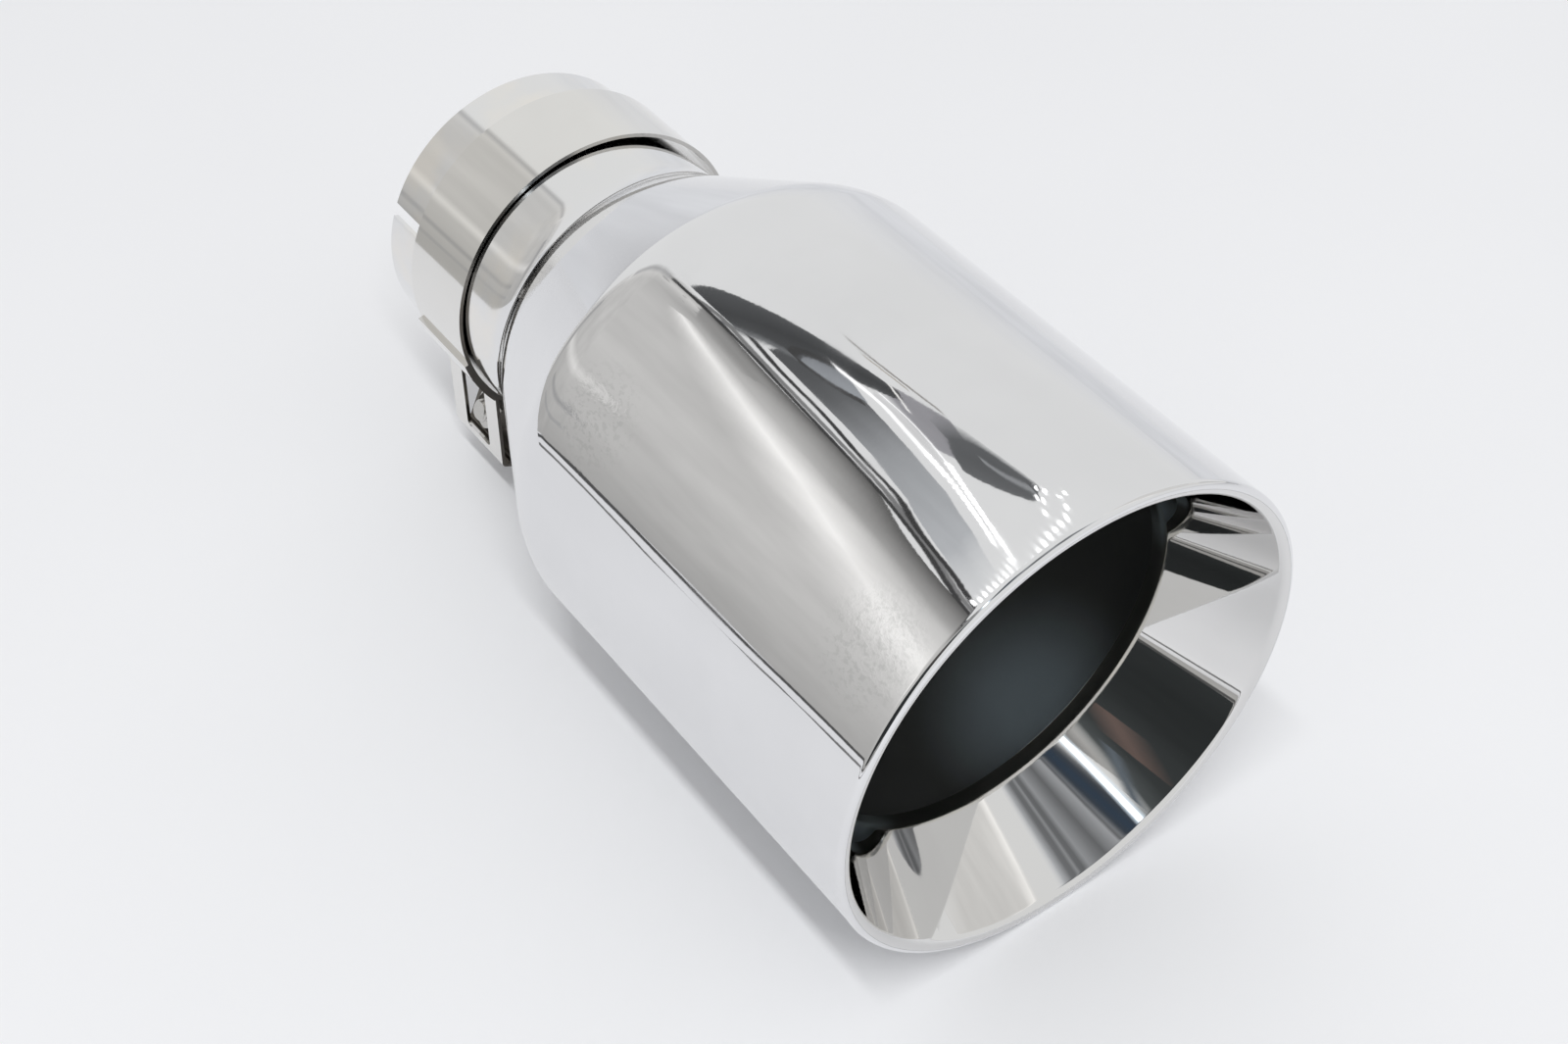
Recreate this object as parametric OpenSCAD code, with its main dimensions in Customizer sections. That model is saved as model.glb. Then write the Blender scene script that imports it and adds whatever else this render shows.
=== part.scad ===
// Polished exhaust tip with a clamp strap on its slotted neck.
// The origin is the centre of the inlet's end. +X runs along the axis to the mouth, and +Z is up.
// Each piece is drawn standing, with the tip's axis on Z and "down" along X, and is then laid along X.

/* [Shell] */
// Overall length, from the inlet's end to the rim
tip_length = 183; // [160:1:240]
// Outer diameter of the body
body_d = 101.6; // [96:0.1:114]
// Outer diameter of the neck
neck_d = 63; // [56:0.5:70]
// Thickness of the sheet that the shell and the mouth cone are made of
sheet = 1.2; // [0.8:0.1:1.6]
// Length of the straight neck, to where its surface begins to flare
neck_length = 39.5; // [36:0.5:50]
// Slope of the shoulder's cone to the axis, in degrees
shoulder_angle = 26; // [20:0.5:32]
// Radius of the hollow sweep from the neck to the cone, on the outside
hollow_r = 19; // [2:1:24]
// Radius of the round shoulder from the cone to the body, on the outside
shoulder_r = 18; // [8:1:24]

/* [Inlet slots] */
// Number of slots in the inlet's end
slot_count = 2; // [1:1:4]
// Width of a slot
slot_w = 3; // [2:0.5:5]
// Length of a slot, with its round end
slot_length = 25; // [14:1:28]
// Angle of the first slot from straight down, towards +Y, in degrees
slot_angle = -112; // [-180:1:180]

/* [Mouth cone] */
// Depth of the cone, from the rim to its flange
cone_depth = 21.5; // [14:0.5:30]
// Diameter of the hole that the cone leaves
cone_hole_d = 78; // [66:1:84]
// Length of the turned flange round that hole
flange_length = 3; // [2:0.5:6]
// Inside radius of the bend from the cone to the flange
cone_bend_r = 3; // [0.5:0.5:4]
// Depth of the weld that joins the mouth cone to the shell, from the rim
weld_depth = 1.5; // [0.8:0.1:2.5]
// Gap that is left between the weld and the shell
weld_gap = 0.03; // [0.01:0.01:0.1]

/* [Clamp strap] */
// Distance from the inlet's end to the strap
strap_offset = 11; // [4:0.5:14]
// Width of the strap
strap_w = 19.5; // [15:0.5:24]
// Thickness of the strap
strap_t = 0.8; // [0.6:0.1:1.2]
// Gap at the strap's seat on the neck
seat_gap = 0.3; // [0.1:0.1:0.5]
// How far the slack strap hangs off centre
strap_play = 0.8; // [0:0.1:1]
// Angle of the side where the strap hangs off, from straight down, towards +Y, in degrees
slack_angle = 60; // [-180:1:180]
// Angle of the lug from straight down, towards +Y, in degrees
lug_angle = -25; // [-180:1:180]
// Gap between the two loops of the lug
lug_gap = 8; // [4:0.5:12]
// Height of the loops above the strap
lug_height = 14; // [12.5:0.5:18]
// Width of a loop across its folded top
fold_w = 4; // [3.5:0.5:6]
// Inside radius of the strap's folds
fold_r = 0.6; // [0.3:0.1:1]
// Angle from the lug's middle to the root of a loop's sloping leg, in degrees
root_angle = 29.5; // [27:0.5:33]
// Angle from the lug's middle to the strap's own end, which lies on the strap, in degrees
end_angle = 51; // [42:1:60]
// Width of the window in a loop's sloping leg
window_w = 9.5; // [9:0.5:12]
// Distance from a loop's root to its window
window_start = 1.2; // [0.8:0.1:1.6]
// Corner radius of the window
window_r = 1; // [0.5:0.5:2]

/* [Clamp screw] */
// Nominal diameter of the screw
screw_d = 5; // [4:0.5:5]
// Length of the screw under its head
screw_length = 16; // [14:1:22]
// Diameter of the screw's head
head_d = 8.5; // [7:0.5:8.5]
// Height of the screw's head
head_h = 5; // [4:0.5:5]
// Width across flats of the head's socket
key_w = 4; // [2.5:0.5:4]
// Depth of the head's socket
key_depth = 2.5; // [1.5:0.5:3]
// Width across flats of the nut
nut_w = 8; // [7:0.5:8]
// Thickness of the nut
nut_h = 4; // [3:0.5:4.5]
// Height of the screw's axis above the strap
screw_height = 5.6; // [5.2:0.1:6.2]
// Width of the bevels on the head, the nut and the screw's end
bevel = 0.5; // [0.2:0.1:0.6]
// Clearance between the screw and the nut, all round
nut_gap = 0.05; // [0.02:0.01:0.1]
// Clearance between the screw and its holes in the strap, all round
hole_gap = 0.4; // [0.2:0.1:0.8]

/* [Hidden] */
steel = [0.80, 0.80, 0.82];
strap_steel = [0.74, 0.73, 0.72];
screw_steel = [0.66, 0.65, 0.62];
over = 1;
// Fineness of the large rounds and of the small ones
large_fn = 80;
small_fn = 48;
body_r = body_d / 2;
neck_r = neck_d / 2;
hole_r = cone_hole_d / 2;
strap_in_r = neck_r + seat_gap + strap_play;
strap_out_r = strap_in_r + strap_t;
strap_mid = strap_offset + strap_w / 2;
fold_out_r = fold_r + strap_t;
// The fold where the ring turns up into a loop's upright leg: its centre, and its angle from the lug's middle
turn_y = lug_gap / 2 + fold_out_r;
turn_x = sqrt(pow(strap_in_r + fold_out_r, 2) - pow(turn_y, 2));
turn_angle = atan2(turn_y, turn_x);
// The sloping leg of a loop, from its root on the strap to the top of the loop, on its outer face
leg_root = strap_out_r * [cos(root_angle), sin(root_angle)];
leg_top = [strap_out_r + lug_height, lug_gap / 2 + fold_w];
leg_along = unit(leg_top - leg_root);
leg_inward = [leg_along.y, -leg_along.x];
// Where the screw's head and the nut bear on the loops' upright legs
seat = lug_gap / 2 + strap_t;
screw_r = screw_d / 2;
screw_n = strap_out_r + screw_height;

function unit(v) = v / norm(v);
// Points along an arc of radius r about c, from angle a0 to angle a1
function arc(c, r, a0, a1, steps = 8) =
    [for (i = [0:steps]) let (a = a0 + (a1 - a0) * i / steps) c + r * [cos(a), sin(a)]];
// The corner p between the points a and b, rounded to the radius r
function corner(p, a, b, r) =
    let (to_a = unit(a - p), to_b = unit(b - p), half = acos(to_a * to_b) / 2,
         c = p + unit(to_a + to_b) * r / sin(half),
         start = p + to_a * r / tan(half) - c,
         end = p + to_b * r / tan(half) - c,
         a0 = atan2(start.y, start.x),
         turn = atan2(end.y, end.x) - a0)
    arc(c, r, a0, a0 + (turn > 180 ? turn - 360 : turn < -180 ? turn + 360 : turn), 5);
// A closed outline through the points, each with a corner radius of its own
function rounded(points, radii) =
    let (n = len(points))
    [for (i = [0:n - 1])
        each radii[i] == 0 ? [points[i]]
            : corner(points[i], points[(i + n - 1) % n], points[(i + 1) % n], radii[i])];

module laid() {
    rotate([0, 90, 0]) children();
}

// The lug's own frame: X out through the lug's middle, Y across it, Z along the tip's axis
module at_lug() {
    laid() translate(strap_play * [cos(slack_angle), sin(slack_angle), 0])
        rotate([0, 0, lug_angle]) children();
}

// The shell's surface as points of radius and height, at a depth below its outside
function skin(depth) =
    let (flare_out = neck_r + hollow_r * (1 - cos(shoulder_angle)),
         flare_up = neck_length + hollow_r * sin(shoulder_angle),
         cone_rise = body_r - shoulder_r * (1 - cos(shoulder_angle)) - flare_out,
         shoulder_up = flare_up + cone_rise / tan(shoulder_angle) + shoulder_r * sin(shoulder_angle))
    concat([[neck_r - depth, 0]],
        arc([neck_r + hollow_r, neck_length], hollow_r + depth, 180, 180 - shoulder_angle),
        arc([body_r - shoulder_r, shoulder_up], shoulder_r - depth, -shoulder_angle, 0));

// One spun sheet: slotted neck, hollow sweep, cone, round shoulder and body.
// At the rim its outer half of the bead is a quarter round of the sheet's own thickness.
module outer_shell() {
    inside = skin(sheet);
    color(steel) laid() difference() {
        rotate_extrude($fn = large_fn) polygon(concat(
            skin(0),
            arc([body_r - sheet, tip_length - sheet], sheet, 0, 90, 5),
            [for (i = [len(inside) - 1:-1:0]) inside[i]]));
        for (i = [0:slot_count - 1])
            rotate([0, 0, slot_angle + i * 360 / slot_count]) slot();
    }
}

// A slot through the neck's wall, open at the inlet's end and round at its other end
module slot() {
    half = slot_w / 2;
    translate([neck_r - sheet - over, 0, 0]) rotate([90, 0, 90]) linear_extrude(sheet + 2 * over)
        polygon(concat([[-half, -over], [half, -over]], arc([0, slot_length - half], half, 0, 180)));
}

// The bevelled ring in the mouth: the weld against the shell, the cone, and a turned flange round the hole.
// The cone starts at the rim with a full round lip, which is its half of the rim's bead.
module mouth_cone() {
    outer = body_r - sheet - weld_gap;
    inner = outer - sheet;
    tilt = atan2(inner - hole_r, cone_depth);
    lip_r = sheet * tan(45 + tilt / 2);
    cone_end = [hole_r, tip_length - cone_depth];
    flange_end = cone_end - [0, flange_length];
    weld_in = [inner + sheet / cos(tilt) - weld_depth * tan(tilt), tip_length - weld_depth];
    color(steel) laid() rotate_extrude($fn = large_fn) polygon(rounded(
        [[outer, tip_length], [inner, tip_length], cone_end, flange_end, flange_end + [sheet, 0],
            cone_end + sheet * [1, -tan(tilt / 2)], weld_in, [outer, tip_length - weld_depth]],
        [0, lip_r, cone_bend_r + sheet, 0, 0, cone_bend_r, 0, 0]));
}

// One strap: the ring round the neck, two folded loops, and the strap's two ends lying back on the ring
module clamp_strap() {
    color(strap_steel) at_lug() translate([0, 0, strap_offset]) difference() {
        union() {
            linear_extrude(strap_w) strap_ring();
            loop();
            mirror([0, 1, 0]) loop();
        }
        translate([0, 0, -over]) cylinder(r = strap_in_r, h = strap_w + 2 * over, $fn = large_fn);
        translate([screw_n, 0, strap_w / 2]) rotate([90, 0, 0])
            cylinder(r = screw_r + hole_gap, h = 2 * seat + strap_t, center = true, $fn = small_fn);
    }
}

// The ring with its gap at the lug, and the two stretches where the strap lies double
module strap_ring() {
    from = root_angle - asin(strap_t / strap_out_r);
    difference() {
        circle(r = strap_out_r, $fn = large_fn);
        sector(-turn_angle, turn_angle);
    }
    for (side = [-1, 1]) intersection() {
        circle(r = strap_out_r + strap_t, $fn = large_fn);
        sector(side * from, side * end_angle);
    }
}

// A wedge from the axis outwards, between two angles from the lug's middle
module sector(a0, a1) {
    reach = 2 * strap_out_r;
    polygon([[0, 0], reach * [cos(a0), sin(a0)], reach * [cos(a1), sin(a1)]]);
}

// One loop: the ring's turn into the upright leg, a folded top and a sloping leg with its window
module loop() {
    gap_face = lug_gap / 2;
    top = leg_top.x;
    slope_foot = leg_root - leg_along * strap_t / 2;
    inner_top = top - strap_t;
    inner_foot = slope_foot + leg_inward * strap_t;
    inner_corner = inner_foot + leg_along * (inner_top - inner_foot.x) / leg_along.x;
    turn = [turn_x, turn_y];
    difference() {
        linear_extrude(strap_w) {
            polygon(concat(
                arc(turn, fold_out_r, 180 + turn_angle, 270),
                arc(turn, fold_r, 270, 180 + turn_angle)));
            difference() {
                polygon(rounded([[turn_x, gap_face], [top, gap_face], leg_top, slope_foot],
                    [0, fold_out_r, fold_out_r, 0]));
                polygon(rounded(
                    [[turn_x - over, seat], [inner_top, seat], inner_corner, inner_foot - leg_along * over],
                    [0, fold_r, fold_r, 0]));
            }
        }
        window();
    }
}

// The opening in a sloping leg, through which the nut or the head shows. It ends short of the folded top.
module window() {
    start = window_start;
    end = norm(leg_top - leg_root) - fold_out_r - strap_t;
    half = window_w / 2;
    translate([leg_root.x, leg_root.y, strap_w / 2])
        rotate([0, 0, atan2(leg_along.y, leg_along.x)]) rotate([90, 0, 0])
            translate([0, 0, -over]) linear_extrude(strap_t + 2 * over)
                polygon(rounded([[start, -half], [end, -half], [end, half], [start, half]],
                    [window_r, window_r, window_r, window_r]));
}

// A socket-head screw across the lug, with its head in the loop on the +Y side of the lug's middle
module clamp_screw() {
    head_r = head_d / 2;
    color(screw_steel) at_lug() translate([screw_n, seat, strap_mid]) rotate([90, 0, 0]) difference() {
        rotate_extrude($fn = small_fn) polygon([
            [0, -head_h], [head_r - bevel, -head_h], [head_r, bevel - head_h], [head_r, 0],
            [screw_r, 0], [screw_r, screw_length - bevel], [screw_r - bevel, screw_length],
            [0, screw_length]]);
        translate([0, 0, -head_h - over])
            cylinder(r = key_w / 2 / cos(30), h = key_depth + over, $fn = 6);
    }
}

// The nut in the other loop, with its flats along the window's sides
module clamp_nut() {
    corner_r = nut_w / 2 / cos(30);
    color(screw_steel) at_lug() translate([screw_n, -seat, strap_mid]) rotate([90, 0, 0]) difference() {
        intersection() {
            cylinder(r = corner_r, h = nut_h, $fn = 6);
            rotate_extrude($fn = small_fn) polygon([
                [0, 0], [corner_r - bevel, 0], [corner_r + bevel, 2 * bevel * tan(30)],
                [corner_r + bevel, nut_h - 2 * bevel * tan(30)], [corner_r - bevel, nut_h], [0, nut_h]]);
        }
        translate([0, 0, -over]) cylinder(r = screw_r + nut_gap, h = nut_h + 2 * over, $fn = small_fn);
    }
}

outer_shell();
mouth_cone();
clamp_strap();
clamp_screw();
clamp_nut();
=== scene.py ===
# Polished exhaust tip on a pale table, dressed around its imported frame. All sizes are in metres.
import math

import bpy
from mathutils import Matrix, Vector


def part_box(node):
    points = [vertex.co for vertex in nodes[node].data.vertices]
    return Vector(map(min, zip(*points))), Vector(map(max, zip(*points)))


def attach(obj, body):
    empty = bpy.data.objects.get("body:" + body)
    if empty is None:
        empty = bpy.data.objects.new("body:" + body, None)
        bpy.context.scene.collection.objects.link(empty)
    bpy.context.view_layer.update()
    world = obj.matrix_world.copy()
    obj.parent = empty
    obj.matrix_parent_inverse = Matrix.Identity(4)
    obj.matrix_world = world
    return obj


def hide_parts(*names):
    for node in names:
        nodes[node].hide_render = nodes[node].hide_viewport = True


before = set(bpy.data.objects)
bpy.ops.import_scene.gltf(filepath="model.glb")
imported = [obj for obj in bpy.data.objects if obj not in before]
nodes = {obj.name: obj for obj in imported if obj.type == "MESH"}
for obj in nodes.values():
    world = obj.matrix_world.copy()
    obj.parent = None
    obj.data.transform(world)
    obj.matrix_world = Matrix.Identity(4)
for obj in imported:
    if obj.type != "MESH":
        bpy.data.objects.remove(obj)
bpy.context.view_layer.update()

# The camera looks down on the mouth from its own side, about 45 degrees above the table.
# Its place and lens come from fitting the part's circles and outlines to the photograph.
camera_place = Vector((0.3589, -0.1888, 0.2994))
camera_forward = Vector((-0.5772, 0.4170, -0.7021))
focal_length_mm = 52.56
sensor_width_mm = 36.0
camera = bpy.data.objects.new("camera", bpy.data.cameras.new("camera"))
bpy.context.scene.collection.objects.link(camera)
camera.location = camera_place
camera.rotation_mode = "QUATERNION"
camera.rotation_quaternion = camera_forward.to_track_quat("-Z", "Y")
camera.data.sensor_fit = "HORIZONTAL"
camera.data.sensor_width = sensor_width_mm
camera.data.lens = focal_length_mm
camera.data.clip_start = 0.01
bpy.context.scene.camera = camera
bpy.context.scene.view_settings.view_transform = "Standard"


# The shell: one spun sheet of stainless steel, polished to a mirror outside and left dark inside.
# Its neck has two slots, so that the strap can draw it in on the pipe.
class Wire:
    """A value in a material's node tree. Arithmetic on it adds Math nodes."""

    def __init__(self, finish, socket):
        self.finish, self.socket = finish, socket

    def maths(self, operation, *terms):
        return self.finish.add("ShaderNodeMath", {"operation": operation}, dict(enumerate(terms)))

    def __add__(self, other):
        return self.maths("ADD", self, other)

    def __radd__(self, other):
        return self.maths("ADD", other, self)

    def __sub__(self, other):
        return self.maths("SUBTRACT", self, other)

    def __rsub__(self, other):
        return self.maths("SUBTRACT", other, self)

    def __mul__(self, other):
        return self.maths("MULTIPLY", self, other)

    def __rmul__(self, other):
        return self.maths("MULTIPLY", other, self)

    def __truediv__(self, other):
        return self.maths("DIVIDE", self, other)

    def __pow__(self, other):
        return self.maths("POWER", self, other)

    def ramp(self, low, high, to_low=0.0, to_high=1.0):
        """The value rises smoothly from to_low to to_high as this one goes from low to high."""
        return self.finish.add("ShaderNodeMapRange", {"interpolation_type": "SMOOTHSTEP"},
                               {0: self, 1: low, 2: high, 3: to_low, 4: to_high})


class Finish:
    """The nodes of a material, or of the world, built up one by one."""

    def __init__(self, name, owner=None):
        self.material = owner or bpy.data.materials.new(name)
        self.material.use_nodes = True
        self.tree = self.material.node_tree
        self.tree.nodes.clear()

    def add(self, kind, settings=None, sockets=None, out=0):
        """A node with its settings, and with its sockets set or joined. Gives one of its outputs."""
        node = self.tree.nodes.new(kind)
        for name, value in (settings or {}).items():
            if name == "stops":
                ramp = node.color_ramp.elements
                while len(ramp) < len(value):
                    ramp.new(1.0)
                for element, (place, colour) in zip(ramp, value):
                    element.position = place
                    element.color = (*colour, 1.0)
            else:
                setattr(node, name, value)
        for name, value in (sockets or {}).items():
            if isinstance(value, Wire):
                self.tree.links.new(value.socket, node.inputs[name])
            else:
                node.inputs[name].default_value = value
        return Wire(self, node.outputs[out]) if node.outputs else None

    def place(self, stretch=(1, 1, 1)):
        """The point on the object, stretched along its axes."""
        here = self.add("ShaderNodeTexCoord", out="Object")
        return self.add("ShaderNodeMapping", {"vector_type": "POINT"}, {"Vector": here, "Scale": stretch})

    def noise(self, per_metre, detail=2.0, stretch=(1, 1, 1), roughness=0.5):
        return self.add("ShaderNodeTexNoise", None,
                        {"Vector": self.place(stretch), "Scale": per_metre, "Detail": detail, "Roughness": roughness})

    def blend(self, share, first, second):
        """The first colour, going over to the second as share goes from 0 to 1."""
        return self.add("ShaderNodeMix", {"data_type": "RGBA"}, {0: share, 6: first, 7: second}, out=2)

    def bump(self, height, depth, below=None):
        sockets = {"Height": height, "Distance": depth, "Strength": 1.0}
        if below is not None:
            sockets["Normal"] = below
        return self.add("ShaderNodeBump", None, sockets)

    def surface(self, sockets):
        shader = self.add("ShaderNodeBsdfPrincipled", None, sockets)
        self.add("ShaderNodeOutputMaterial", None, {"Surface": shader})
        return self.material


def mirror_steel(name, bright, streaks_along, peel=1.0, haze=0.0, worn=(), neck_share=0.0, cut_and_shade=None):
    """Polished stainless steel: fine polishing lines, a faint orange peel and a few smears.

    Round each worn spot (point, radius) the polish is mottled. Along the neck it is a little duller.
    Where the given mask says so, the sheet is dark and matt: partly the cut steel's own dullness, partly painted
    shade."""
    finish = Finish(name)
    cloud = finish.noise(28, 3.0)
    lines = finish.noise(90, 3.0, streaks_along, 0.6)
    smear = finish.noise(45, 4.0, (1, 1, 1.6), 0.6).ramp(0.52, 0.72)
    roughness = 0.015 + haze + lines * 0.02 + smear * 0.03
    dull = tuple(0.94 * c for c in bright)
    colour = finish.blend(cloud.ramp(0.35, 0.7) * 0.6 + smear * 0.2, (*bright, 1), (*dull, 1))
    if neck_share:
        along = finish.add("ShaderNodeSeparateXYZ", None, {0: finish.place()})
        neck = along.ramp(0.040, 0.046, neck_share, 0.0)
        handled = finish.noise(70, 3.0).ramp(0.42, 0.68)
        roughness = roughness + neck * (0.07 + handled * 0.06)
        colour = finish.blend(neck, colour, finish.blend(handled, (0.80, 0.80, 0.80, 1), (0.86, 0.83, 0.78, 1)))
    wave = finish.bump(finish.noise(22, 1.0), 0.00006)
    skin = finish.bump(finish.noise(700, 1.0), 0.0000012 * peel, wave)
    if worn:
        near = 0.0
        for spot, radius in worn:
            away = finish.add("ShaderNodeVectorMath", {"operation": "DISTANCE"}, {0: finish.place(), 1: spot}, out=1)
            near = away.ramp(radius * 0.35, radius, 1.0, 0.0) + near
        mottle = finish.noise(1100, 2.0, (0.7, 1, 1), 0.6)
        skin = finish.bump(mottle * near, 0.000022, skin)
        specks = (mottle.ramp(0.50, 0.62) * near) * 0.5
        colour = finish.blend(specks, colour, (0.62, 0.63, 0.63, 1))
        roughness = roughness + near * 0.03
    if cut_and_shade:
        # Dark and matt where the mask says: the cut steel's own dullness on the strap's edges, plus painted shade
        # there and inside its loops.
        cut = cut_and_shade(finish)
        colour = finish.blend(cut, colour, (0.135, 0.125, 0.112, 1))
        roughness = roughness + cut * 0.25
    grain = finish.bump(lines, 0.000002, skin)
    return finish.surface({"Base Color": colour, "Metallic": 1.0, "Roughness": roughness, "Normal": grain})


def arc(cx, cr, radius, start, end, steps):
    """Points (x, r) along an arc about (cx, cr), with angles in degrees from the +x direction."""
    turns = [math.radians(start + (end - start) * i / steps) for i in range(steps + 1)]
    return [(cx + radius * math.cos(t), cr + radius * math.sin(t)) for t in turns]


def around(x, r, angle):
    """The point at radius r and at an angle from straight down, towards +Y."""
    return Vector((x, r * math.sin(angle), -r * math.cos(angle)))


fold_angle = math.radians(32)


def piece(name, points, faces, materials, stands_for):
    """A mesh object with smooth faces and sharp folds, riding on the one body."""
    mesh = bpy.data.meshes.new(name)
    mesh.from_pydata(points, [], faces)
    mesh.validate()
    made = bpy.data.objects.new(name, mesh)
    bpy.context.scene.collection.objects.link(made)
    for material in materials:
        mesh.materials.append(material)
    mesh.shade_smooth()
    mesh.set_sharp_from_angle(angle=fold_angle)
    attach(made, "root")
    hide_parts(stands_for)
    return made


shell_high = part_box("outer_shell")[1]
tip_length = shell_high.x
body_r = shell_high.z
sheet = 0.0012
neck_r = 0.0315
neck_length = 0.0395
shoulder_angle = 26
hollow_r = 0.019
shoulder_r = 0.018
slot_half = 0.0015
slot_straight = 0.0235
slot_angles = [math.radians(-112), math.radians(68)]
edge_ease = 0.00015
around_count = 384


def skin_rows(depth):
    """The shell's surface at a depth below its outside, from the end of the straight neck to the body."""
    bend = math.radians(shoulder_angle)
    flare_x = neck_length + hollow_r * math.sin(bend)
    flare_r = neck_r + hollow_r * (1 - math.cos(bend))
    rise = body_r - shoulder_r * (1 - math.cos(bend)) - flare_r
    body_x = flare_x + rise / math.tan(bend) + shoulder_r * math.sin(bend)
    sweep = arc(neck_length, neck_r + hollow_r, hollow_r + depth, 270, 270 + shoulder_angle, 26)
    round_over = arc(body_x, body_r - shoulder_r, shoulder_r - depth, 90 + shoulder_angle, 90, 40)
    low, high = Vector(sweep[-1]), Vector(round_over[0])
    return sweep[1:] + [tuple(low.lerp(high, t)) for t in (0.03, 0.97)] + round_over


neck_rows = [(x, neck_r) for x in (edge_ease, 0.004, 0.009, 0.014, 0.019)]
outer_a = [(0.0, neck_r - edge_ease), *neck_rows]
inner_a = [(0.0, neck_r - sheet + edge_ease), *[(x, neck_r - sheet) for x, _ in neck_rows]]
b_steps = 8
rim = arc(tip_length - sheet, body_r - sheet, sheet, 90, 0, 10)
body_rows = [(x, body_r) for x in (0.0885, 0.11, 0.13, 0.15, 0.168, 0.1795, 0.1812, 0.1816)]
outer_rest = skin_rows(0) + body_rows + rim
inner_rest = [(tip_length - sheet, body_r - sheet), (0.14, body_r - sheet)] + skin_rows(sheet)[::-1]
columns = []
open_step = 2 * math.pi / around_count
for k, angle in enumerate(slot_angles):
    other = slot_angles[1 - k] + (2 * math.pi if slot_angles[1 - k] < angle else 0)
    for i in range(13):
        turn = math.pi * (i / 12 - 0.5)
        columns.append((angle, slot_half * math.sin(turn), slot_straight + slot_half * math.cos(turn), i in (0, 12)))
    gap = math.asin(slot_half / neck_r)
    count = round((other - angle - 2 * gap) / open_step)
    for i in range(1, count):
        columns.append((angle + gap + (other - angle - 2 * gap) * i / count, 0.0, slot_straight, True))
points, faces, marks, index = [], [], [], {}
for j, (angle, aside, start, whole) in enumerate(columns):
    def b_rows(r):
        return [(start + (neck_length - start) * i / b_steps, r) for i in range(b_steps + 1)]
    rows = outer_a + b_rows(neck_r) + outer_rest + inner_rest + b_rows(neck_r - sheet)[::-1] + inner_a[::-1]
    for i, (x, r) in enumerate(rows):
        in_a = i < len(outer_a) or i >= len(rows) - len(inner_a)
        if whole or not in_a:
            index[j, i] = len(points)
            lean = math.asin(aside / r) if x < neck_length else math.asin(aside / neck_r)
            points.append(around(x, r, angle + lean))
row_count = len(rows)
first_inner = len(outer_a) + b_steps + 1 + len(outer_rest)
for j in range(len(columns)):
    k = (j + 1) % len(columns)
    both = columns[j][3] and columns[k][3]
    low, high = (0, row_count) if both else (len(outer_a), row_count - len(inner_a))
    for i in range(low, high):
        n = i + 1 if i + 1 < high else low
        faces.append((index[j, i], index[k, i], index[k, n], index[j, n]))
        marks.append(1 if first_inner <= i < row_count - len(inner_a) - b_steps else 0)
    if columns[j][3] and columns[j][1]:
        for i in range(len(outer_a)):
            n = row_count - 1 - i
            faces.append((index[j, i], index[j, i + 1], index[j, n - 1], index[j, n]))
            marks.append(0)
steel_bright = (0.80, 0.80, 0.81)
shell_steel = mirror_steel("shell_mirror", steel_bright, (0.12, 1, 1), neck_share=0.8,
                           worn=[((0.0975, -0.0405, 0.0310), 0.0125), ((0.172, -0.0370, 0.0345), 0.013)])


def dark_inside():
    """The inside of the sheet, never polished: dark grey-green, with a painted patch of pale bluish light on its
    lower side near the mouth.
    """
    finish = Finish("shell_inside")
    patch = finish.noise(14, 3.0)
    fine = finish.noise(120, 3.0, (0.3, 1, 1), 0.6)
    colour = finish.blend(patch.ramp(0.3, 0.7), (0.135, 0.142, 0.138, 1), (0.185, 0.192, 0.188, 1))
    # A painted patch of light: pale blue-grey on the lower inside near the mouth, where light comes in through the
    # hole.
    away = finish.add("ShaderNodeVectorMath", {"operation": "DISTANCE"},
                      {0: finish.place(), 1: (0.1466, 0.0244, -0.0432)}, out=1)
    colour = finish.blend(away.ramp(0.004, 0.026, 0.95, 0.0), colour, (0.62, 0.74, 0.82, 1))
    skin = finish.bump(finish.noise(900, 2.0), 0.000004)
    return finish.surface({"Base Color": colour, "Metallic": 0.85, "Roughness": fine * 0.14 + 0.36, "Normal": skin})


shell = piece("spun_shell", points, faces, [shell_steel, dark_inside()], "outer_shell")
shell.data.polygons.foreach_set("material_index", marks)

# The mouth cone: a ring of the same sheet, pressed to a bevel with a short flange round its hole.
# It is welded to the shell along the rim and polished flush with it.
cone_depth = 0.0215
cone_hole_r = 0.039
flange_length = 0.003
cone_bend_r = 0.003
weld_depth = 0.0015
weld_gap = 0.00003


def eased(corners, radii, steps=12):
    """A closed outline with its corners rounded. A radius of 0 leaves a corner as it is."""
    outline = []
    for i, (corner, radius) in enumerate(zip(corners, radii)):
        p = Vector(corner)
        back = (Vector(corners[i - 1]) - p).normalized()
        on = (Vector(corners[(i + 1) % len(corners)]) - p).normalized()
        if not radius:
            outline.append(tuple(p))
            continue
        half = back.angle(on) / 2
        centre = p + (back + on).normalized() * radius / math.sin(half)
        start = p + back * radius / math.tan(half) - centre
        end = p + on * radius / math.tan(half) - centre
        turn = start.angle_signed(end)
        for s in range(steps + 1):
            a = -turn * s / steps
            outline.append((centre.x + start.x * math.cos(a) - start.y * math.sin(a),
                            centre.y + start.x * math.sin(a) + start.y * math.cos(a)))
    return outline


def spun(outline, count):
    """The points and faces of a closed outline of (x, r) turned about the axis."""
    points = [around(x, r, 2 * math.pi * j / count) for j in range(count) for x, r in outline]
    n = len(outline)
    faces = [(j * n + i, (j + 1) % count * n + i, (j + 1) % count * n + (i + 1) % n, j * n + (i + 1) % n)
             for j in range(count) for i in range(n)]
    return points, faces


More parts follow.
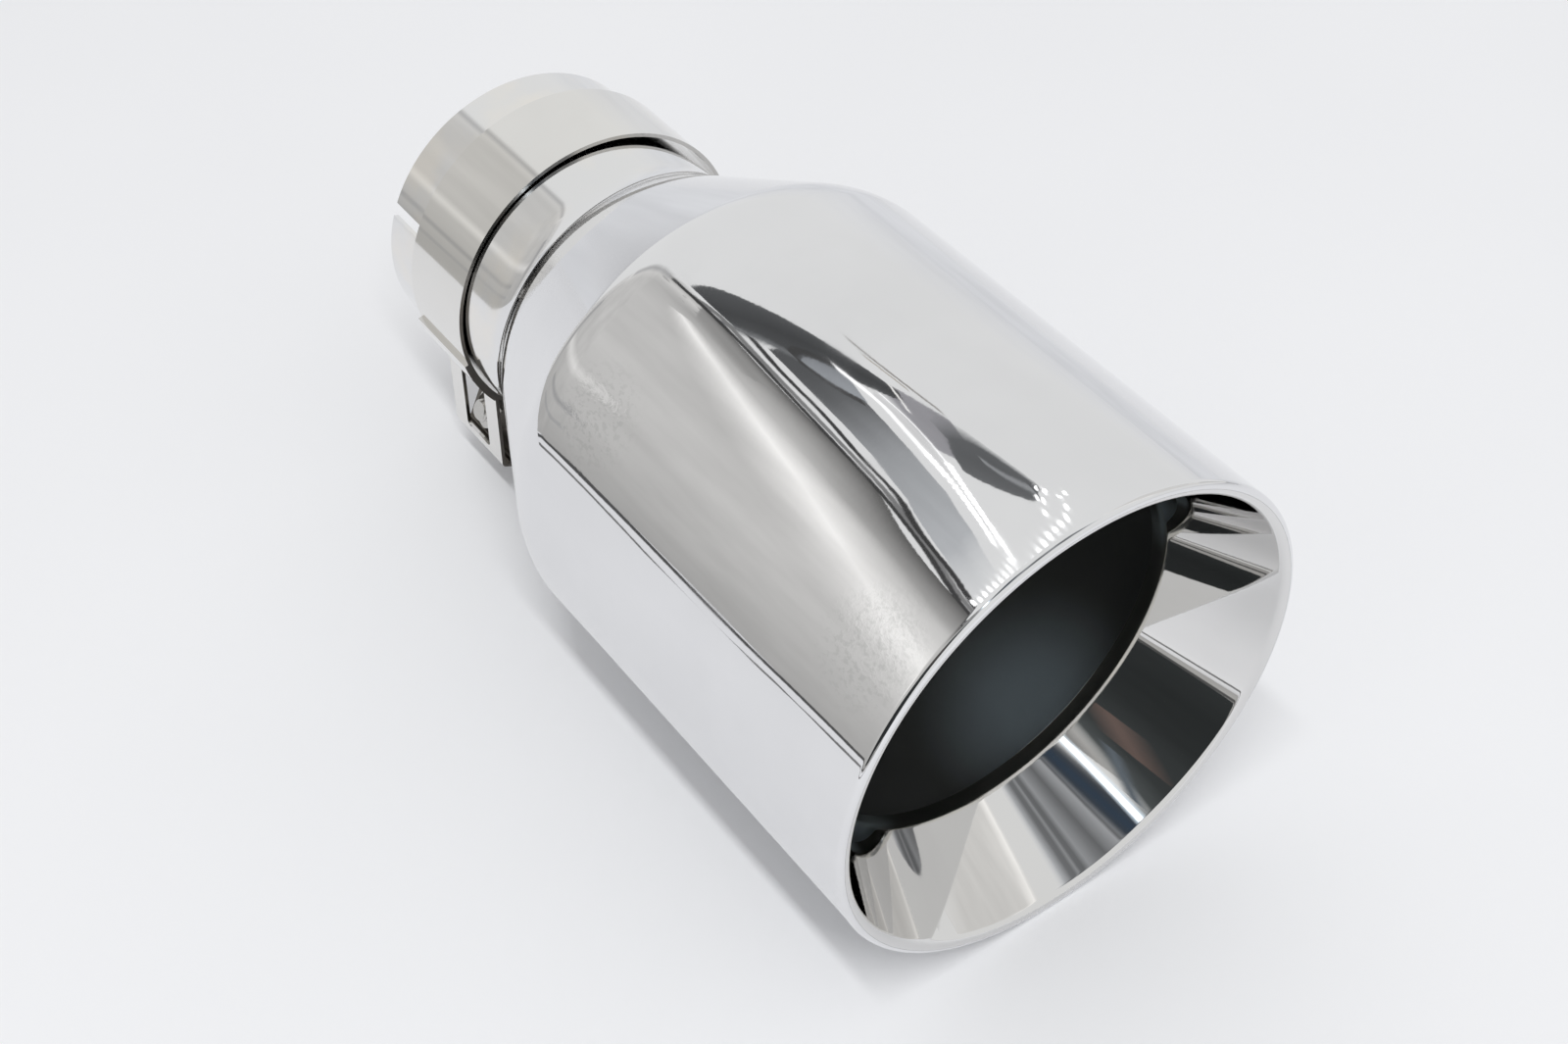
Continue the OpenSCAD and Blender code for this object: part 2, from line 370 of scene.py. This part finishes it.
outer = body_r - sheet - weld_gap
inner = outer - sheet
tilt = math.atan2(inner - cone_hole_r, cone_depth)
lip_r = sheet * math.tan(math.pi / 4 + tilt / 2)
cone_end = Vector((tip_length - cone_depth, cone_hole_r))
cone_way = (cone_end - Vector((tip_length, inner))).normalized()
cone_start = Vector((tip_length, inner)) + cone_way * (sheet + 0.0002)
bend_start = cone_end - cone_way * ((cone_bend_r + sheet) * math.tan(tilt / 2) + 0.0002)
flange_end = cone_end - Vector((flange_length, 0))
weld_x = tip_length - weld_depth
cone_outline = eased(
    [(tip_length, outer), (tip_length, inner), cone_start, bend_start, cone_end, flange_end,
     flange_end + Vector((0, sheet)),
     cone_end + Vector((-math.tan(tilt / 2), 1)) * sheet,
     (weld_x, inner + sheet / math.cos(tilt) - weld_depth * math.tan(tilt)), (weld_x, outer)],
    [0, lip_r, 0, 0, cone_bend_r + sheet, edge_ease, edge_ease, cone_bend_r, 0, 0])
points, faces = spun(cone_outline, around_count)
# The cone is the same sheet, but its steel is coloured a little darker than the shell's: painted shade, so that its
# reflections come out dimmer.
cone_steel = mirror_steel("cone_mirror", (0.745, 0.74, 0.735), (1, 0.3, 0.3), 0.6)


def flange_satin():
    """The bend and the flange, which the polishing wheel hardly reaches: the same steel, a little duller."""
    finish = Finish("flange_satin")
    drawn = finish.noise(60, 3.0, (3, 1, 1), 0.6)
    colour = finish.blend(drawn.ramp(0.3, 0.7), (0.80, 0.78, 0.74, 1), (0.66, 0.65, 0.62, 1))
    return finish.surface({"Base Color": colour, "Metallic": 1.0, "Roughness": drawn * 0.12 + 0.06,
                           "Normal": finish.bump(drawn, 0.00001)})


cone = piece("bevel_cone", points, faces, [cone_steel, flange_satin()], "mouth_cone")
bend_x = tip_length - cone_depth + (cone_bend_r + sheet) * math.tan(tilt / 2) * math.cos(tilt)
for face in cone.data.polygons:
    face.material_index = int(face.center.x < bend_x)

# The clamp: a strap of the same steel folded into two loops, and a socket-head screw with its nut.
# Strap and nut keep their own solids. The strap is polished like the tube. Its cut edges are dark, partly as cut and
# partly painted shade that deepens towards the loops, and the faces inside its loops are painted shade.
lug_angle = math.radians(-25)
strap_out_r = 0.0334
loop_inner = 0.0050


def cut_edges_and_loop_shade(finish):
    """1 on the strap's cut edges, which face along the tip, and on the faces inside its two loops. On the edges the
    dark is partly the cut steel's own and partly painted shade that deepens towards the loops. Inside the loops it is
    painted shade.
    """
    here = finish.place()
    facing = finish.add("ShaderNodeTexCoord", out="Normal")
    across = (0, math.cos(lug_angle), math.sin(lug_angle))
    def along(way, of):
        return finish.add("ShaderNodeVectorMath", {"operation": "DOT_PRODUCT"}, {0: of, 1: way}, out=1)
    endways = along((1, 0, 0), facing)
    out = along(tuple(around(0, 1, lug_angle)), here)
    # Cut edges, darker towards the loops: that deepening is painted shade.
    edge = endways.maths("ABSOLUTE", endways).ramp(0.6, 0.85) * out.ramp(-0.022, 0.012, 0.4, 1.0)
    # The faces inside the loops, which lie in shade: painted shade.
    height = out.ramp(strap_out_r + 0.0002, strap_out_r + 0.0008)
    aside = along(across, here)
    middle = aside.maths("ABSOLUTE", aside).ramp(loop_inner, loop_inner + 0.0002, 1.0, 0.0)
    inward = (along(across, facing) * aside).ramp(-0.0025, -0.0010, 1.0, 0.0)
    inside = height * middle.maths("MAXIMUM", middle, inward)
    return edge.maths("MAXIMUM", edge, inside)


strap_steel = mirror_steel("strap_polish", (0.80, 0.79, 0.77), (1, 0.2, 0.2), 1.2, 0.045, cut_and_shade=cut_edges_and_loop_shade)
screw_steel = mirror_steel("screw_plain", (0.56, 0.55, 0.53), (1, 1, 1), 2.0, 0.2)
for name, material in (("clamp_strap", strap_steel), ("clamp_nut", screw_steel)):
    nodes[name].data.materials.clear()
    nodes[name].data.materials.append(material)

# The screw: an M5 with a rolled thread and a six-sided socket, turned to the same lengths as its solid.
# Its head sits in the loop on the +Y side and its point stands out of the nut.
screw_r = 0.0025
screw_length = 0.016
head_r = 0.00425
head_height = 0.005
key_half = 0.002
key_depth = 0.0025
screw_bevel = 0.0005
thread_pitch = 0.0008
thread_depth = 0.00043
thread_flank = 0.38
thread_run_in = 0.001
rows_per_turn = 8
head_ease = 0.0002
centre_dot = 0.0001
screw_out = strap_out_r + 0.0056
screw_seat = 0.0048
strap_middle = 0.02075
strap_play = 0.0008
slack_angle = math.radians(60)
screw_columns = 60


def at_lug(out, across, along):
    """A point given from the lug's middle: outwards, towards the +Y loop, and along the tip."""
    x = out * math.cos(lug_angle) - across * math.sin(lug_angle) + strap_play * math.cos(slack_angle)
    y = out * math.sin(lug_angle) + across * math.cos(lug_angle) + strap_play * math.sin(slack_angle)
    return Vector((along, y, -x))


def hexagon(turn):
    """The distance from the socket's middle to its side."""
    return key_half / math.cos((turn + math.pi / 6) % (math.pi / 3) - math.pi / 6)


points, faces = [], []
head_rows = [(key_depth - head_height, centre_dot), (key_depth - head_height, None), (-head_height, None),
             (-head_height, head_r - screw_bevel), (screw_bevel - head_height, head_r), (-head_ease, head_r),
             (0.0, head_r - head_ease), (0.0, screw_r)]
thread_rows = round(screw_length / (thread_pitch / rows_per_turn))
for j in range(screw_columns):
    turn = 2 * math.pi * j / screw_columns
    column = [(s, hexagon(turn) if r is None else r) for s, r in head_rows]
    for i in range(1, thread_rows):
        s = screw_length * i / thread_rows
        wave = (s / thread_pitch - turn / (2 * math.pi)) % 1.0
        cut = thread_depth * max(0.0, 1 - abs(wave - 0.5) / thread_flank) * min(1.0, s / thread_run_in)
        point = screw_length - screw_bevel
        column.append((s, screw_r - cut if s < point else min(screw_r - cut, screw_r - (s - point))))
    column += [(screw_length, screw_r - screw_bevel), (screw_length, centre_dot)]
    for s, r in column:
        points.append(at_lug(screw_out + r * math.cos(turn), screw_seat - s, strap_middle + r * math.sin(turn)))
rows = len(points) // screw_columns
for j in range(screw_columns):
    k = (j + 1) % screw_columns
    faces += [(j * rows + i, j * rows + i + 1, k * rows + i + 1, k * rows + i) for i in range(rows - 1)]
faces += [tuple(j * rows for j in range(screw_columns)),
          tuple(j * rows + rows - 1 for j in reversed(range(screw_columns)))]
piece("threaded_screw", points, faces, [screw_steel], "clamp_screw")

# The table: a matt white sheet that meets the body's lowest line and runs on past the picture.
# One long lamp above it and the white room light it, and it takes the part's soft shadow.
table_z = -body_r


def table_white():
    finish = Finish("table_sheet")
    cloud = finish.noise(6, 2.0)
    colour = finish.blend(cloud.ramp(0.3, 0.7), (0.856, 0.866, 0.884, 1), (0.872, 0.882, 0.900, 1))
    fibre = finish.bump(finish.noise(1500, 2.0), 0.00001)
    return finish.surface({"Base Color": colour, "Roughness": 0.9, "Normal": fibre})


reach = 6.0
table_mesh = bpy.data.meshes.new("table")
table_mesh.from_pydata([(-reach, -reach, table_z), (reach, -reach, table_z), (reach, reach, table_z),
                        (-reach, reach, table_z)], [], [(0, 1, 2, 3)])
table = bpy.data.objects.new("table", table_mesh)
bpy.context.scene.collection.objects.link(table)
table_mesh.materials.append(table_white())


# The light tent: white walls round the part, with cards on a dome that only the metal sees.
# On the camera's side is the opening with the room behind it, and in the roof a slit with small lamps.
tent_centre = Vector((0.13, 0, 0))
tent_r = 0.35


def on_tent(azimuth, elevation, layer):
    """A point of the dome, with angles in degrees. Each layer hangs 1 mm further in."""
    a, e = math.radians(azimuth), math.radians(elevation)
    way = Vector((math.cos(e) * math.cos(a), math.cos(e) * math.sin(a), math.sin(e)))
    return tent_centre + way * (tent_r - 0.001 * layer)


def smooth_line(knots, count):
    """Evenly many points along a smooth line through the knots."""
    line = []
    for i in range(count + 1):
        at = (len(knots) - 1) * i / count
        k = min(int(at), len(knots) - 2)
        t = at - k
        a, b, c, d = (Vector(knots[min(max(k + j, 0), len(knots) - 1)]) for j in (-1, 0, 1, 2))
        line.append(((2 * b) + (c - a) * t + (2 * a - 5 * b + 4 * c - d) * t * t
                     + (3 * b - a - 3 * c + d) * t ** 3) / 2)
    return line


def tent_cloth():
    """Light from each card's own shade, lightly clouded. Where its cover is 0, the card is clear."""
    finish = Finish("tent_cloth")
    shade = finish.add("ShaderNodeVertexColor", {"layer_name": "shade"})
    cover = finish.add("ShaderNodeVertexColor", {"layer_name": "shade"}, out=1)
    light = finish.add("ShaderNodeEmission", None, {"Color": shade, "Strength": finish.noise(25, 3.0) * 0.3 + 0.85})
    clear = finish.add("ShaderNodeBsdfTransparent")
    mixed = finish.add("ShaderNodeMixShader", None, {0: cover, 1: clear, 2: light})
    finish.add("ShaderNodeOutputMaterial", None, {"Surface": mixed})
    finish.material.cycles.emission_sampling = "NONE"
    return finish.material


cloth = tent_cloth()


def hang(name, points, faces, shades):
    """A mesh on the dome that only the metal sees, with a shade and a cover for each of its points."""
    mesh = bpy.data.meshes.new(name)
    mesh.from_pydata(points, [], faces)
    attribute = mesh.color_attributes.new("shade", "FLOAT_COLOR", "POINT")
    for spot, shade in zip(attribute.data, shades):
        spot.color = shade
    mesh.materials.append(cloth)
    hung = bpy.data.objects.new(name, mesh)
    bpy.context.scene.collection.objects.link(hung)
    hung.visible_camera = hung.visible_diffuse = hung.visible_shadow = hung.visible_volume_scatter = False


def card(name, lines, layer, tint=(1, 1, 1), count=32, steps=6):
    """A card through several lines. Each is its knots of (azimuth, elevation), its shade and its cover."""
    rows = []
    drawn = [(smooth_line(knots, count), shade, cover) for knots, shade, cover in lines]
    for (first, shade_a, cover_a), (second, shade_b, cover_b) in zip(drawn, drawn[1:]):
        for s in range(steps + 1):
            t = s / steps
            rows.append([(p.lerp(q, t), shade_a + (shade_b - shade_a) * t, cover_a + (cover_b - cover_a) * t)
                         for p, q in zip(first, second)])
    points = [on_tent(p.x, p.y, layer) for row in rows for p, _, _ in row]
    wide = count + 1
    faces = [(r * wide + i, r * wide + i + 1, (r + 1) * wide + i + 1, (r + 1) * wide + i)
             for r in range(len(rows) - 1) for i in range(count)]
    hang(name, points, faces, [(*[shade * c for c in tint], cover) for row in rows for _, shade, cover in row])


def strip(name, knots, width, shade, layer, soft=0.4, tint=(1, 1, 1)):
    """A narrow band of even width along a line, with soft edges."""
    knots = [Vector(k) for k in knots]
    lines = []
    for aside, cover in ((-1, 0), (-1 + soft, 1), (1 - soft, 1), (1, 0)):
        shifted = []
        for i, k in enumerate(knots):
            along = (knots[min(i + 1, len(knots) - 1)] - knots[max(i - 1, 0)])
            along.x *= math.cos(math.radians(k.y))
            across = Vector((-along.y, along.x)).normalized() * aside * width / 2
            shifted.append((k.x + across.x / math.cos(math.radians(k.y)), k.y + across.y))
        lines.append((shifted, shade, cover))
    card(name, lines, layer, tint, steps=2)


def lamp_row(name, knots, gap, along, across, shade, lean=None):
    """A row of small lamps at even gaps along a smooth line, in degrees. Each is an oval that lies
    along the line, or leans by an angle from the level."""
    line = smooth_line([Vector(k) for k in knots], 400)
    points, faces, gone = [], [], gap
    for a, b in zip(line, line[1:]):
        narrow = math.cos(math.radians(a.y))
        step = Vector(((b.x - a.x) * narrow, b.y - a.y))
        gone += step.length
        if gone < gap:
            continue
        gone = 0.0
        long_way = step.normalized() if lean is None else Vector((math.cos(lean), math.sin(lean)))
        wide_way = Vector((-long_way.y, long_way.x))
        first = len(points)
        for i in range(12):
            turn = 2 * math.pi * i / 12
            off = long_way * (along / 2 * math.cos(turn)) + wide_way * (across / 2 * math.sin(turn))
            points.append(on_tent(a.x + off.x / narrow, a.y + off.y, 8))
        faces.append(tuple(range(first, first + 12)))
    hang(name, points, faces, [(shade, shade, shade, 1)] * len(points))


warm = (1, 0.99, 0.965)
cool = (0.97, 1, 1.03)
card("room", [
    ([(197, -14), (212, -10.5), (228, -4.5), (250, -4), (285, -4), (322, -4)], 0.46, 1),
    ([(192, 6), (206, 7), (222, 9), (245, 9), (285, 9), (322, 9)], 0.57, 1),
    ([(189, 26), (202, 26), (220, 26), (245, 26), (285, 26), (322, 26)], 0.66, 1),
    ([(191, 42), (201, 46), (214, 50), (238, 47), (280, 47), (322, 47)], 0.60, 1),
    ([(193, 47), (203, 51.2), (214, 55), (235, 52.5), (280, 52), (322, 52)], 0.32, 1),
    ([(195, 50), (204, 54.5), (213, 58), (232, 56), (280, 56), (322, 56)], 0.12, 1)], 0, warm)
card("room_glow", [
    ([(203, 45.5), (215, 42), (230, 36), (243, 26), (252, 12)], 0.8, 0),
    ([(203, 46.5), (215, 46.5), (230, 44), (245, 36), (256, 26)], 1.1, 1),
    ([(203, 47.5), (216, 50), (232, 51), (248, 46), (264, 36)], 0.9, 0)], 1, warm)
strip("room_shade", [(194, 47), (199, 49.5), (206, 51.5)], 4.5, 0.34, 1, 0.9, warm)
strip("room_beam", [(197, 4), (212, 12.5), (228, 20)], 5.0, 0.80, 1, 0.9, warm)
strip("room_ledge", [(205, 0), (216, 3.6), (229, 8.5)], 2.6, 0.40, 1, 0.9)
strip("room_shelf", [(206, -4.5), (217, -1.2), (229, 2.6)], 1.6, 0.42, 1, 0.8)
strip("room_corner", [(192, 14), (194.5, 2), (197, -12)], 5.0, 0.42, 1, 0.9)
strip("opening_foot", [(199, -16.5), (212, -12), (228, -4.8), (242, -5), (252, -3.6), (285, -2.6), (296, -1.4),
                       (322, -1.2)], 1.3, 0.09, 2)
strip("opening_hem", [(203, -17.5), (214, -13.5), (228, -7.2), (240, -8.8), (252, -6.4), (285, -6.0), (322, -5.8)],
      0.9, 0.20, 2)
strip("opening_seam", [(194.8, 48.8), (193.6, 50.8), (196.7, 52.8), (200.9, 55.2), (205.4, 57.3), (210.7, 59.2),
                       (216.7, 59.4), (222.6, 59.3), (229.1, 57.9), (236, 57.2), (262, 57), (322, 58)], 1.3, 0.24, 2)
strip("opening_top", [(191.8, 53.0), (195.8, 54.9), (199, 57.2), (204.9, 59), (209.5, 60.6), (217.9, 60),
                      (224.6, 59.9), (230, 59), (236, 58.2), (262, 57.9), (322, 58.9)], 1.2, 0.055, 3)
strip("opening_roof_hem", [(194, 47.6), (195.4, 50.2), (198.4, 52.6), (202, 54.3), (206.9, 56.4), (212.4, 58.2),
                           (218.3, 58.6), (224.5, 58.3), (231.2, 56.8), (236, 56.2), (262, 56.1), (322, 57.1)],
      1.1, 0.06, 3)
strip("opening_side_soft", [(197, 49), (193, 42), (190, 34), (188.6, 24), (189.5, 10), (192, 0), (196, -10)],
      5.5, 0.74, 1, 0.95, warm)
strip("opening_side", [(194, 47.5), (191.3, 42), (189, 36), (188, 30), (187.8, 24)], 3.4, 0.50, 2, 0.95)
strip("opening_fold", [(189, 22), (190.5, 8), (193.5, -4), (198, -14)], 5, 0.50, 1, 0.9)

card("slit_haze", [
    ([(165.5, 58.4), (166, 60.5), (168, 62.5)], 0.42, 0), ([(160, 57), (162.5, 60), (165, 63.2)], 0.39, 1),
    ([(152, 57.2), (155, 60), (160, 63.4)], 0.36, 1), ([(147, 57.2), (149, 60), (153, 63.6)], 0.30, 1)],
     0, (0.99, 0.98, 1.03))
card("slit_left", [
    ([(135, 58.7), (138.3, 58.3), (142.1, 57.9), (146, 57.5), (151, 58.2), (155, 59.4)], 0.24, 0.2),
    ([(135.6, 59.4), (139.5, 59.3), (143, 59.1), (147, 59.3), (151, 60), (155.5, 61)], 0.15, 1),
    ([(137.5, 60.6), (141.5, 61.2), (146, 61.7), (150.5, 62), (155.5, 62.4), (160, 62.8)], 0.14, 1),
    ([(139, 61.8), (143.5, 63.4), (149, 64.4), (154.5, 64.9), (160, 65), (163.5, 64.6)], 0.16, 1)], 1, cool)
strip("slit_ledge", [(138.6, 60.8), (142.4, 61.5), (146.3, 61.8), (149.2, 61.4)], 1.3, 0.34, 2, 0.7, cool)
card("slit_right", [
    ([(156.5, 57.4), (160, 56.5), (165.2, 55.2), (171.3, 53.9), (178, 52.4), (184.7, 50.6), (191.6, 49)], 0.11, 1),
    ([(157.5, 58), (161, 57.7), (166.5, 57), (172.5, 55.8), (179, 54.6), (186, 52.8), (192.4, 50.4)], 0.075, 1),
    ([(158.5, 58.6), (162, 58.7), (167.5, 58.5), (173, 57.8), (180, 57), (187, 54.8), (193, 51.8)], 0.10, 1)],
     1, cool)
card("slit_over", [
    ([(190.5, 54.2), (184, 55.5), (177, 57.2)], 0.105, 1), ([(192, 55.6), (185, 57.2), (175, 58.6)], 0.115, 1),
    ([(194, 57.2), (187, 58.6), (175.5, 59.8)], 0.15, 1), ([(196, 58.8), (189, 60.4), (177, 61.4)], 0.25, 1),
    ([(199.5, 60.4), (192, 62.2), (180, 63.4)], 0.38, 1), ([(207, 61.6), (199, 64), (186, 66)], 0.47, 1),
    ([(220, 60.9), (212, 64.4), (197, 67.4)], 0.55, 1), ([(232, 59.4), (228, 63), (214, 67.4)], 0.70, 0)],
     0, cool, count=16)
strip("slit_pipe", [(195.4, 50.6), (192, 52.6), (188.5, 54), (184.2, 55.8)], 1.2, 0.19, 2, 0.9, cool)
card("lens_face", [
    ([(183.4, 56.2), (180, 56.3), (176, 56.9), (171.4, 57.8)], 0.30, 1),
    ([(183.8, 57), (181.5, 58), (179, 58.9), (175, 59.9)], 0.40, 1)], 3, (0.95, 1, 1.06), count=12)
strip("lens_top", [(184.4, 55.6), (180, 55.9), (175.5, 56.6), (171, 57.4)], 0.7, 0.07, 4)
strip("lens_foot", [(184.6, 56), (183.4, 57.2), (181.3, 58.5), (177, 59.9)], 0.8, 0.08, 4)
strip("slit_wire", [(156.4, 53), (154.4, 54.2), (151.9, 55.2), (149.4, 56), (147, 56.6)], 0.7, 0.24, 1, 0.8,
      (1, 0.93, 0.84))
strip("slit_wire_low", [(156.6, 54.4), (154.4, 55.3), (152, 56.2)], 0.5, 0.42, 1, 0.8, (1, 0.90, 0.76))
strip("glare_under", [(168.6, 59.2), (167.6, 61), (169.4, 63.2), (172.6, 65.2)], 3.2, 0.78, 5, 0.9)
strip("glare_near", [(172.6, 57.2), (170.6, 58.7), (169.6, 60.2), (171.2, 62), (173.8, 64), (176.4, 65.7)],
      1.3, 1.6, 6, 0.8)
strip("glare_far", [(165.6, 58.8), (164.4, 60.2), (164.8, 61.9), (167.3, 64.0), (170, 65.4)], 0.6, 1.3, 6, 0.8)
strip("glare_spark", [(157.6, 57.2), (159, 58.6), (160.6, 59.8)], 0.5, 1.2, 6, 0.8, warm)
lamp_row("lamps_near", [(173.6, 64), (176.5, 65.8), (180, 67.1), (184.5, 68.1), (189, 68.8), (193.5, 69.2)],
         0.55, 1.7, 0.27, 2.6, 0.06)
lamp_row("lamps_near_far", [(168, 64.6), (173.4, 66.6), (178, 67.9), (182.4, 68.9), (187, 69.7), (192.5, 70.4)],
         0.55, 1.5, 0.27, 2.6, 0.06)
lamp_row("lamps_end", [(195.5, 70.2), (204, 69.4), (212.7, 67.7), (219, 65.7), (223.3, 63.9), (228, 61.5),
                       (231.3, 59)], 2.3, 1.5, 0.30, 2.6)
lamp_row("lamps_end_far", [(198, 70.7), (207, 69.6), (215, 67.7), (221, 65.6)], 2.3, 1.3, 0.26, 2.2)
lamp_row("lamps_rim", [(131.4, 59.4), (134, 61.6), (137.2, 63.5), (147.7, 67.4), (164, 70.6), (185, 72.1),
                       (205, 71.6), (214, 70.4)], 3.1, 2.0, 0.34, 2.6)
lamp_row("lamps_rim_in", [(134.4, 59.3), (137.4, 61.4), (141.4, 64), (147.4, 66.4)], 3.1, 1.8, 0.30, 2.6)
lamp_row("lamps_rim_third", [(136.6, 60), (139.4, 62), (143, 64)], 2.6, 1.5, 0.26, 2.2)
lamp_row("lamps_rim_back", [(128.4, 56), (130.5, 57.8), (134, 59.6)], 2.4, 1.4, 0.26, 2.4)

card("maker", [
    ([(282, -1.2), (298, -0.8), (306, 1.6), (322, 2)], 0.040, 1),
    ([(283, 12), (322, 12)], 0.032, 1),
    ([(285, 24), (322, 24)], 0.036, 1),
    ([(290, 33), (324, 33)], 0.050, 1),
    ([(294, 40.5), (328, 41)], 0.055, 1),
    ([(300, 45), (332, 46.5)], 0.10, 1),
    ([(306, 49), (334, 50)], 0.30, 0)], 3, (0.90, 1, 1.02))
strip("maker_face", [(305, 34), (309, 37), (313, 39.5)], 6.5, 0.15, 4, 0.9, (1, 0.74, 0.66))
strip("camera_sheen", [(314, 43.5), (320, 46.5), (326, 48.5)], 2.4, 0.17, 4, 0.9, (0.82, 0.97, 1.12))
card("front_roof", [
    ([(325, 47), (325, 67)], 0.30, 0), ([(329, 48), (329, 67)], 0.22, 1), ([(332, 48), (332, 67)], 0.08, 1),
    ([(336, 48), (336, 68)], 0.06, 1), ([(341, 48), (341, 68)], 0.07, 1), ([(344, 48), (344, 68)], 0.26, 1),
    ([(346, 48), (346, 69)], 0.16, 1), ([(348, 48), (348, 69)], 0.42, 1), ([(352, 48), (352, 69)], 0.34, 1),
    ([(360, 48), (360, 69)], 0.17, 1), ([(366, 48), (366, 69)], 0.25, 1), ([(374, 48), (374, 69)], 0.36, 1),
    ([(378.5, 48), (378.5, 69)], 0.17, 1), ([(381.5, 48), (381.5, 69)], 0.18, 1),
    ([(383.5, 48), (383.5, 68)], 0.34, 1), ([(386, 48), (386, 68)], 0.19, 1), ([(389, 48), (389, 68)], 0.20, 1),
    ([(394, 48), (394, 68)], 0.50, 1), ([(399, 48), (399, 67)], 0.80, 0)],
     1, (0.97, 1, 1.04), count=6, steps=4)
strip("front_light", [(319, 57.6), (322.2, 55.2), (324.8, 53.5), (327.4, 51.8), (330.4, 50.2), (333, 48.8)],
      5.4, 1.5, 5, 0.95, (0.86, 1, 1.12))
strip("front_core", [(320.4, 56.6), (324.8, 53.5), (331.4, 49.8)], 2.8, 4.0, 6, 0.8, (0.94, 1, 1.05))
strip("front_navy", [(337, 48), (337, 68)], 9.0, 0.065, 2, 0.9, (0.66, 0.96, 1.40))
card("front_wall", [
    ([(48, 30), (50, 46), (52, 58)], 0.86, 0), ([(51.2, 30), (52, 45), (55, 58)], 1.15, 1),
    ([(54, 28), (55.5, 44), (59, 58)], 0.82, 1), ([(62, 20), (64, 36), (68, 56)], 0.74, 1),
    ([(72, 10), (74, 30), (80, 50)], 0.76, 1), ([(80, 6), (84, 26), (92, 46)], 0.84, 0)], 0, warm)
strip("wall_spot", [(76.4, 19), (77.6, 13), (78.6, 7), (80, 0)], 3.0, 0.16, 1, 0.8)
strip("wall_seam", [(84, 6), (85.5, -2)], 2.4, 0.42, 1, 0.9)
strip("wall_glint", [(74.5, 24), (76, 20)], 1.1, 1.5, 1, 0.8)

# A low skirting softens the line where the table's far edge and the walls meet in the metal.
card("skirting", [
    ([(80, 1), (108, -6), (135, -9), (160, -6), (190, 1)], 0.80, 0),
    ([(80, 1), (108, -3), (135, -4), (160, -3), (190, 1)], 0.80, 1),
    ([(80, 1), (108, 3), (135, 5), (160, 3), (190, 1)], 0.79, 1),
    ([(80, 1), (108, 13), (135, 24), (160, 13), (190, 1)], 0.84, 0)], 0, (0.985, 1, 1.03))

# The key lamp casts the narrow shadow along the body's foot. The rest of the light is the white room's.
# It is a long tube over the part, so that the small clamp casts no edge of its own.
lamp_place = Vector((0.95, -0.521, 1.738))
lamp_length = 1.5
lamp_width = 0.10
lamp_watts = 18
lamp = bpy.data.objects.new("key_lamp", bpy.data.lights.new("key_lamp", "AREA"))
bpy.context.scene.collection.objects.link(lamp)
lamp.location = lamp_place
lamp.rotation_euler = (math.atan2(-lamp_place.y, lamp_place.z), 0, 0)
lamp.data.shape = "RECTANGLE"
lamp.data.size = lamp_length
lamp.data.size_y = lamp_width
lamp.data.energy = lamp_watts
lamp.visible_glossy = False

world = bpy.data.worlds.new("tent")
world.use_nodes = True
bpy.context.scene.world = world
air = Finish("tent_air", world)
in_metal = air.add("ShaderNodeLightPath", out="Is Glossy Ray")
walls = air.blend(in_metal, (0.715, 0.712, 0.715, 1), (0.90, 0.905, 0.90, 1))
shine = air.add("ShaderNodeBackground", None, {"Color": walls, "Strength": 0.95})
air.add("ShaderNodeOutputWorld", None, {"Surface": shine})
